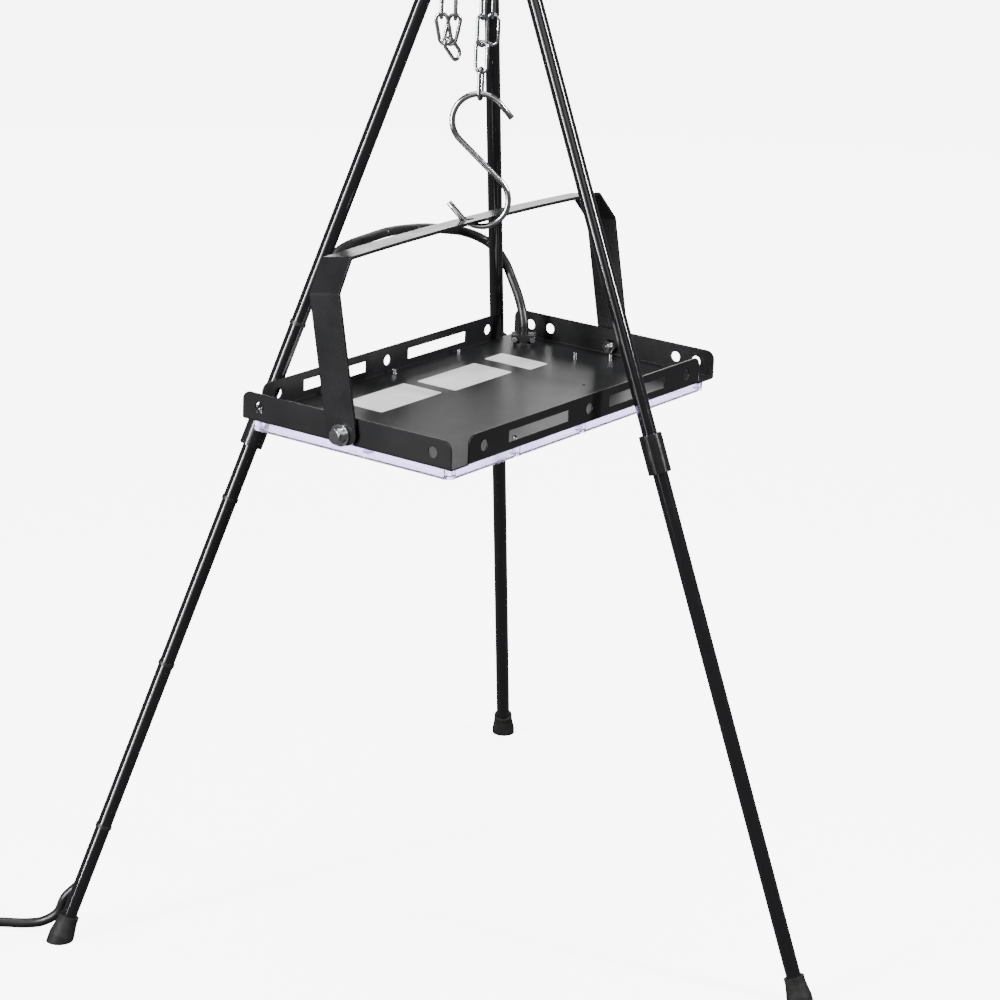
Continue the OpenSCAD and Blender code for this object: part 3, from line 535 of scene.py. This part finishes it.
# two layers of turns, spiralling in and then out on top, with the angles in degrees.
# toPlug is how far along and how far down from the top layer the end goes
coil = {
    "at": 0.145,
    "inner": 0.0432,
    "outer": 0.0648,
    "step": 0.0108,
    "rise": 0.0105,
    "low": 0.0065,
    "leadIn": 0.004,
    "climb": 720,
    "climbTakes": 180,
    "end": 1530,
    "every": 5,
    "dip": 0.0026,
    "smooth": 4,
    "toPlug": ((0, 0), (-0.012, 0), (-0.024, 0), (-0.036, -0.001), (-0.048, -0.0035), (-0.060, -0.0045)),
    "plugRun": (-0.072, -0.084, -0.094),
    "plugUp": 0.013,
}


def coilRadius(turn):
    if turn < coil["climb"]:
        return coil["outer"] - coil["step"] * turn / 360
    past = turn - coil["climb"]
    if past < coil["climbTakes"]:
        return coil["inner"] - coil["dip"] * math.sin(math.radians(past))
    return coil["inner"] + coil["step"] * (past - coil["climbTakes"]) / 360


def coilHeight(turn):
    past = min(max(turn - coil["climb"], 0), coil["climbTakes"])
    return coil["low"] + coil["rise"] * (1 - math.cos(math.radians(past))) / 2


def coilPlace(x, y, z):
    centre = onFloor(coil["at"], legRoute["floorOut"] - coil["outer"], 0)
    return centre + viewAway * x + viewLeft * y + Vector((0, 0, z))


def makeLegCord():
    side = cordLook["beside"]
    down = [byLeg(run, side) for run in legRoute["aboveSleeve"]]
    down += [byLeg(run, cordLook["pastSleeve"]) for run in legRoute["pastSleeve"]]
    down += [byLeg(run, side) for run in legRoute["belowSleeve"]]
    down += [byLeg(run, side + more) for run, more in legRoute["byFoot"]]
    down += [onFloor(*place) for place in legRoute["toFloor"]]
    down += [onFloor(along, legRoute["floorOut"], coil["low"]) for along in legRoute["floorAlong"]]
    path = smoothPath(down, cordLook["smooth"])
    path.append(coilPlace(coil["outer"], -coil["leadIn"], coil["low"]))
    for turn in range(0, coil["end"] + 1, coil["every"]):
        size, angle = coilRadius(turn), math.radians(turn)
        path.append(coilPlace(size * math.cos(angle), size * math.sin(angle), coilHeight(turn)))
    last = coilRadius(coil["end"])
    high = coil["low"] + coil["rise"]
    tail = [(x, high + drop) for x, drop in coil["toPlug"]]
    tail += [(x, coil["plugUp"]) for x in coil["plugRun"]]
    path += smoothPath([coilPlace(x, last, z) for x, z in tail], coil["smooth"])[1:]
    path = thinPath(path)
    points, faces = sweep(path, cordLook["thick"] / 2, cordLook["sides"])
    obj = newObject("cordDownLeg", points, faces, paints["jacket"])
    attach(obj, "leg_left")
    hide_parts("cord_leg", "cord_coil")
    long = pathLength(path)
    print("cord down the leg, metres:", round(long, 3))
    return long


freeLong = makeFreeCord()
legLong = makeLegCord()
print("cord in all, metres:", round(freeLong + legLong, 3))

# the S-hook, bent from round bar with flat-cut ends. gap is between the two bends' middles,
# and sidestep is how far the lower bend hangs beside the upper one
hook = {
    "wire": 0.006,
    "sides": 28,
    "bend": 0.0265,
    "bendSteps": 48,
    "gap": 0.0785,
    "shankSteps": 10,
    "tip": 0.0185,
    "tipTurn": 38,
    "worn": 0.0004,
    "lean": 4.190419,
    "across": -0.00026,
    "hangs": 0.1799,
    "sidestep": 0.005,
    "ringUp": 1.005175,
}


def hangingTurn():
    # the chain and the hook lean a little along the photograph's line of sight
    tilted = Matrix.Rotation(-math.radians(hook["lean"]), 4, "X")
    return Matrix.Rotation(viewTurn, 4, "Z") @ tilted


def hookHalf():
    bend, tip = hook["bend"], hook["tip"]
    start = math.radians(hook["tipTurn"])
    shank = 90 - math.degrees(math.acos(2 * bend / hook["gap"]))
    finish = math.radians(180 + shank)
    upper = Vector((0, 0, hook["gap"] / 2))
    half = [upper + Vector((bend * math.cos(start) + tip * math.sin(start), 0,
                            bend * math.sin(start) - tip * math.cos(start)))]
    for i in range(hook["bendSteps"] + 1):
        turn = start + (finish - start) * i / hook["bendSteps"]
        half.append(upper + Vector((bend * math.cos(turn), 0, bend * math.sin(turn))))
    return half


def makeHook():
    gap, worn, steps = hook["gap"], hook["worn"], hook["shankSteps"]
    half = hookHalf()
    other = [-p for p in reversed(half)]
    path = half + [half[-1].lerp(other[0], i / steps) for i in range(1, steps)] + other
    # the ends are cut flat with a small worn edge
    path = [path[0] + (path[0] - path[1]).normalized() * worn] + path
    path = path + [path[-1] + (path[-1] - path[-2]).normalized() * worn]
    ends = (0, len(path) - 1)
    full = hook["wire"] / 2
    points, faces = sweep(path, lambda i: full - worn if i in ends else full, hook["sides"])
    place = Matrix.Translation((0, tripod["middleY"], hook["ringUp"])) @ hangingTurn()
    place = place @ Matrix.Translation((hook["across"], 0, -hook["hangs"]))
    place = place @ Matrix.Rotation(-math.asin(hook["sidestep"] / gap), 4, "Y")
    place = place @ Matrix.Translation((0, 0, -gap / 2))
    obj = newObject("hangingHook", [place @ p for p in points], faces, paints["bright"])
    for face in (-1, -2):
        obj.data.polygons[face].use_smooth = False
    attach(obj, "hook")
    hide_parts("s_hook")
    print("hook bent")


makeHook()

# blank labels on the tray's plate: left, right, near and far edge of each, from the tray's middle
tray = {"pivotUp": 0.0105, "sheet": 0.0016}
plateTop = jointPlace["lamp_tilt"].z - tray["pivotUp"] + tray["sheet"]
labels = {
    "thick": 0.0003,
    "sunk": 0.0001,
    "corner": 0.0022,
    "cornerSteps": 6,
    "edges": [
        (-0.1173, -0.0204, 0.0388, 0.0883),
        (-0.0051, 0.0908, 0.0340, 0.0834),
        (0.1120, 0.1428, 0.0262, 0.0863),
    ],
}


def roundedOutline(left, right, near, far, corner, steps):
    points = []
    for x, y, start in ((right - corner, far - corner, 0), (left + corner, far - corner, 90),
                        (left + corner, near + corner, 180), (right - corner, near + corner, 270)):
        for i in range(steps + 1):
            turn = math.radians(start + 90 * i / steps)
            points.append((x + corner * math.cos(turn), y + corner * math.sin(turn)))
    return points


def slab(name, outline, low, high, paint):
    count = len(outline)
    points = [(x, y, low) for x, y in outline] + [(x, y, high) for x, y in outline]
    faces = [tuple(reversed(range(count))), tuple(range(count, 2 * count))]
    for i in range(count):
        j = (i + 1) % count
        faces.append((i, j, count + j, count + i))
    return newObject(name, points, faces, paint, smooth=False)


def makeLabels():
    low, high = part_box("lamp_tray")
    centre = (low + high) / 2
    for index, (left, right, near, far) in enumerate(labels["edges"]):
        outline = roundedOutline(centre.x + left, centre.x + right, centre.y + near, centre.y + far,
                                 labels["corner"], labels["cornerSteps"])
        obj = slab(f"label{index + 1}", outline, plateTop - labels["sunk"],
                   plateTop + labels["thick"], paints["label"])
        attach(obj, "lamp")
    print("labels laid:", len(labels["edges"]))


makeLabels()

# threads on the screw tips and bolt ends. clear is kept free at each end of a thread
threadLook = {"perTurn": 12, "sides": 6, "taper": 6, "endSize": 0.3}
screwThread = {"radius": 0.002, "pitch": 0.0007, "wire": 0.00026, "clear": 0.0004}
boltThread = {
    "radius": 0.004,
    "pitch": 0.00125,
    "wire": 0.0004,
    "clear": 0.0004,
    "shorter": 0.0006,
    "shortest": 0.001,
}


def islands(obj):
    # low and high corner of each separate solid in a mesh
    mesh = obj.data
    parent = list(range(len(mesh.vertices)))

    def find(i):
        while parent[i] != i:
            parent[i] = parent[parent[i]]
            i = parent[i]
        return i

    same = {}
    for vertex in mesh.vertices:
        key = tuple(round(c, 6) for c in vertex.co)
        if key in same:
            parent[find(vertex.index)] = find(same[key])
        else:
            same[key] = vertex.index
    for edge in mesh.edges:
        parent[find(edge.vertices[0])] = find(edge.vertices[1])
    groups = {}
    for vertex in mesh.vertices:
        groups.setdefault(find(vertex.index), []).append(vertex.co)
    found = []
    for members in groups.values():
        low = Vector([min(c[k] for c in members) for k in range(3)])
        high = Vector([max(c[k] for c in members) for k in range(3)])
        found.append((low, high))
    return found


def helix(name, base, along, long, thread):
    # one raised thread, thin where it starts and ends
    perTurn, taper, endSize = threadLook["perTurn"], threadLook["taper"], threadLook["endSize"]
    along = along.normalized()
    across = along.cross(Vector((0, 0, 1)) if abs(along.z) < upright else Vector((0, 1, 0))).normalized()
    other = along.cross(across)
    steps = max(perTurn, int(long / thread["pitch"] * perTurn))
    path = []
    for i in range(steps + 1):
        turn = 2 * math.pi * i / perTurn
        spot = base + along * (long * i / steps)
        path.append(spot + thread["radius"] * (math.cos(turn) * across + math.sin(turn) * other))

    def size(i):
        return thread["wire"] * min(1, endSize + i / taper, endSize + (steps - i) / taper)

    points, faces = sweep(path, size, threadLook["sides"])
    obj = newObject(name, points, faces, paints["bright"])
    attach(obj, "lamp")


def makeScrewThreads():
    clear = screwThread["clear"]
    count = 0
    for name in ("cover_screws", "board_screws"):
        for low, high in islands(nodes[name]):
            centre = (low + high) / 2
            base = Vector((centre.x, centre.y, plateTop + clear))
            count += 1
            helix(f"screwThread{count}", base, Vector((0, 0, 1)), high.z - plateTop - clear * 2,
                  screwThread)
    print("screw threads:", count)


def makeBoltThreads():
    # on the bolt ends that stand past the nuts inside the tray
    nuts = islands(nodes["pivot_nuts"])
    for index, (low, high) in enumerate(islands(nodes["pivot_bolts"])):
        side = 1 if (low + high).x > 0 else -1
        tip = low.x if side > 0 else high.x
        nutLow, nutHigh = [nut for nut in nuts if (nut[0].x > 0) == (side > 0)][0]
        face = nutLow.x if side > 0 else nutHigh.x
        axis = (nutLow + nutHigh) / 2
        long = abs(face - tip) - boltThread["shorter"]
        if long > boltThread["shortest"]:
            base = Vector((tip + side * boltThread["clear"], axis.y, axis.z))
            helix(f"boltThread{index + 1}", base, Vector((side, 0, 0)), long, boltThread)
    print("bolt threads cut")


makeScrewThreads()
makeBoltThreads()

# chain links, bent from wire with a weld half way up one side. step is from link to link, and
# lift is from where a link bears to the middle of its lower bend
link = {
    "wire": 0.0038,
    "sides": 14,
    "bend": 0.0058,
    "bendSteps": 14,
    "straight": 0.0185,
    "weldSideSteps": 9,
    "plainSideSteps": 4,
    "step": 0.0261,
    "lift": 0.0039,
    "swell": 0.00035,
    "swellHalf": 1.4,
}


def linkMesh(place):
    # one link standing on its lower end, its broad side along x
    bend, straight, bendSteps = link["bend"], link["straight"], link["bendSteps"]
    welded, plain = link["weldSideSteps"], link["plainSideSteps"]
    path = [Vector((bend, 0, straight * k / welded)) for k in range(welded)]
    for k in range(bendSteps):
        turn = math.pi * k / bendSteps
        path.append(Vector((bend * math.cos(turn), 0, straight + bend * math.sin(turn))))
    path += [Vector((-bend, 0, straight * (1 - k / plain))) for k in range(plain)]
    for k in range(bendSteps):
        turn = math.pi * (1 + k / bendSteps)
        path.append(Vector((bend * math.cos(turn), 0, bend * math.sin(turn))))

    def size(i):
        swell = max(0, 1 - abs(i - welded / 2) / link["swellHalf"]) if i < welded else 0
        return link["wire"] / 2 + link["swell"] * swell

    lifted = [place @ (p + Vector((0, 0, link["lift"]))) for p in path]
    return sweep(lifted, size, link["sides"], closed=True)


def spinZ(degrees):
    return Matrix.Rotation(math.radians(degrees), 4, "Z")


def makeChain(name, node, body, places):
    points, faces = joinMeshes([linkMesh(place) for place in places])
    obj = newObject(name, points, faces, paints["bright"])
    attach(obj, body)
    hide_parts(node)
    print(name, "links:", len(places))


# how far each link is turned about the chain, in degrees, from the lowest up
loadTurns = (74, -16, 36, -72, 20, -42)
# the spare length hangs in two runs of links, each with its start, its height there and the side
# it goes to. their last links lean inward, and the lowest link joins them askew: it points along
# one direction and is wide in another
spare = {
    "sideways": -0.034,
    "deep": 0.012,
    "up": 1.000475,
    "runs": ((-0.005, 0.001755, -1), (0, 0, 1)),
    "half": 0.0069,
    "runTurns": (90, 0, 90),
    "inward": 0.0052,
    "apart": 0.0018,
    "twist": 6,
    "along": (0.40, 0.62, -0.66),
    "wide": (0.55, 0.75, 0.3),
    "raised": 0.0008,
    "back": 0.0016,
}
loose = {
    "sideways": 0.010,
    "deep": 0.012,
    "up": 0.977175,
    "turns": (0, 84, -14),
}


def hangingFrame(look):
    sideways, deep = look["sideways"], look["deep"]
    x = sideways * math.cos(viewTurn) - deep * math.sin(viewTurn)
    y = tripod["middleY"] + sideways * math.sin(viewTurn) + deep * math.cos(viewTurn)
    return Matrix.Translation((x, y, look["up"])) @ Matrix.Rotation(viewTurn, 4, "Z")


def loadPlaces():
    hang = Matrix.Translation((0, tripod["middleY"], hook["ringUp"])) @ hangingTurn()
    count = len(loadTurns)
    return [hang @ Matrix.Translation((0, 0, (i - count) * link["step"])) @ spinZ(turn)
            for i, turn in enumerate(loadTurns)]


def sparePlaces():
    base = hangingFrame(spare)
    places = []
    step = link["step"]
    for start, high, side in spare["runs"]:
        end = side * spare["half"]
        low = high - math.sqrt(step * step - (end - start) ** 2)
        tilt = Matrix.Rotation(-math.asin((end - start) / step), 4, "Y")
        for i, turn in enumerate(spare["runTurns"]):
            hang = Matrix.Translation((end, 0, low - i * step))
            places.append(base @ hang @ (tilt if i == 0 else Matrix()) @ spinZ(turn))
        inward = side * math.asin(spare["inward"] / step)
        low -= 2 * step + step * math.cos(inward)
        foot = Matrix.Translation((end - side * spare["inward"], side * spare["apart"], low))
        places.append(base @ foot @ Matrix.Rotation(inward, 4, "Y") @ spinZ(side * spare["twist"]))
    along = Vector(spare["along"]).normalized()
    wide = Vector(spare["wide"])
    wide = (wide - wide.dot(along) * along).normalized()
    turn = Matrix((wide, along.cross(wide), along)).transposed().to_4x4()
    place = Vector((0, 0, low + spare["raised"])) - along * spare["back"]
    places.append(base @ Matrix.Translation(place) @ turn)
    return places


def loosePlaces():
    base = hangingFrame(loose)
    return [base @ Matrix.Translation((0, 0, -(i + 1) * link["step"])) @ spinZ(turn)
            for i, turn in enumerate(loose["turns"])]


makeChain("loadChain", "load_chain", "chain", loadPlaces())
makeChain("spareChain", "slack_chain", "spare_chain", sparePlaces())
makeChain("chainEnd", "tail_chain", "tail_end", loosePlaces())

# soft ribs on the plug's relief, and grip ridges round its body, at those distances from
# where the cord ends
plug = {
    "ribsAt": (0.004, 0.008, 0.012, 0.016, 0.020),
    "ribs": 0.0008,
    "reliefLong": 0.024,
    "reliefThin": 0.006,
    "reliefGrows": 0.0025,
    "ridgesAt": (0.034, 0.038, 0.042, 0.046),
    "ridges": 0.0006,
    "bodyRadius": 0.0126,
    "steps": 40,
    "sides": 8,
}


def makePlugRibs():
    up = Vector((0, 0, 1))
    end = coilPlace(coil["plugRun"][-1], coilRadius(coil["end"]), coil["plugUp"])
    rings = [(at, plug["reliefThin"] + plug["reliefGrows"] * at / plug["reliefLong"], plug["ribs"])
             for at in plug["ribsAt"]]
    rings += [(at, plug["bodyRadius"], plug["ridges"]) for at in plug["ridgesAt"]]
    turns = [2 * math.pi * k / plug["steps"] for k in range(plug["steps"])]
    parts = []
    for at, size, wire in rings:
        centre = end - viewAway * at
        path = [centre + size * (math.cos(turn) * viewLeft + math.sin(turn) * up) for turn in turns]
        parts.append(sweep(path, wire, plug["sides"], closed=True))
    points, faces = joinMeshes(parts)
    obj = newObject("plugRibs", points, faces, paints["jacket"])
    obj.parent = nodes["cord_plug"]
    print("plug ribs set")


makePlugRibs()

# the studio: a glowing pale floor, and panels of light
studio = {
    "around": 0.12,
    "floorHalf": 30,
    "floorGlow": 6.5,
    "floorLook": {
        "name": "paleFloor", "color": (0.86, 0.86, 0.86), "rough": 0.6,
        "mottle": (1.2, (0.85, 0.85, 0.85), (0.88, 0.88, 0.88)),
    },
}
panels = {
    "rightStrip": {
        "place": (0.75, -2.9, 2.3), "aim": (0.1, 0, 0.75),
        "wide": 0.3, "tall": 1.3, "watts": 165,
    },
    "leftStrip": {
        "place": (-2.9, 0.95, 1.5), "aim": (0, 0.1, 0.75),
        "wide": 0.26, "tall": 2.6, "watts": 195,
    },
    "leftBroad": {
        "place": (-2.7, 0.15, 1.3), "aim": (0, 0.1, 0.7),
        "wide": 0.7, "tall": 2.4, "watts": 15,
    },
    "frontBroad": {
        "place": (-3.0, -2.6, 2.6), "aim": (0, 0.1, 0.7),
        "wide": 2.8, "tall": 1.8, "watts": 17,
    },
    "backBroad": {
        "place": (3.8, 1.55, 1.75), "aim": (0, 0.1, 0.6),
        "wide": 1.9, "tall": 1.3, "watts": 20,
    },
    "backLow": {
        "place": (3.1, 2.7, 0.98), "aim": (0, 0.1, 0.72),
        "wide": 1.8, "tall": 0.5, "watts": 17,
    },
    "topBroad": {
        "place": (0.1, 0.3, 3.4), "aim": (0, 0.1, 0.5),
        "wide": 2.0, "tall": 2.0, "watts": 72,
    },
}


def addPanel(name, look):
    data = bpy.data.lights.new(name, "AREA")
    data.shape = "RECTANGLE"
    data.size = look["wide"]
    data.size_y = look["tall"]
    data.energy = look["watts"]
    obj = bpy.data.objects.new(name, data)
    bpy.context.collection.objects.link(obj)
    obj.location = look["place"]
    ahead = Vector(look["aim"]) - Vector(look["place"])
    obj.rotation_euler = ahead.to_track_quat("-Z", "Y").to_euler()


def makeFloor():
    ground = mixPaint(studio["floorLook"])
    ground["shader"].inputs["Emission Color"].default_value = (1, 1, 1, 1)
    ground["shader"].inputs["Emission Strength"].default_value = studio["floorGlow"]
    half = studio["floorHalf"]
    corners = [(-half, -half, 0), (half, -half, 0), (half, half, 0), (-half, half, 0)]
    floor = newObject("paleFloor", corners, [(0, 1, 2, 3)], ground["paint"], smooth=False)
    # the floor doesn't light the object or show in its gloss, so the paint mirrors the panels only
    floor.visible_glossy = False
    floor.visible_diffuse = False


def makeStudio():
    world = bpy.data.worlds.new("studioAir")
    world.use_nodes = True
    world.node_tree.nodes["Background"].inputs["Color"].default_value = (1, 1, 1, 1)
    world.node_tree.nodes["Background"].inputs["Strength"].default_value = studio["around"]
    bpy.context.scene.world = world
    for name, look in panels.items():
        addPanel(name, look)
    makeFloor()
    print("studio lit")


makeStudio()
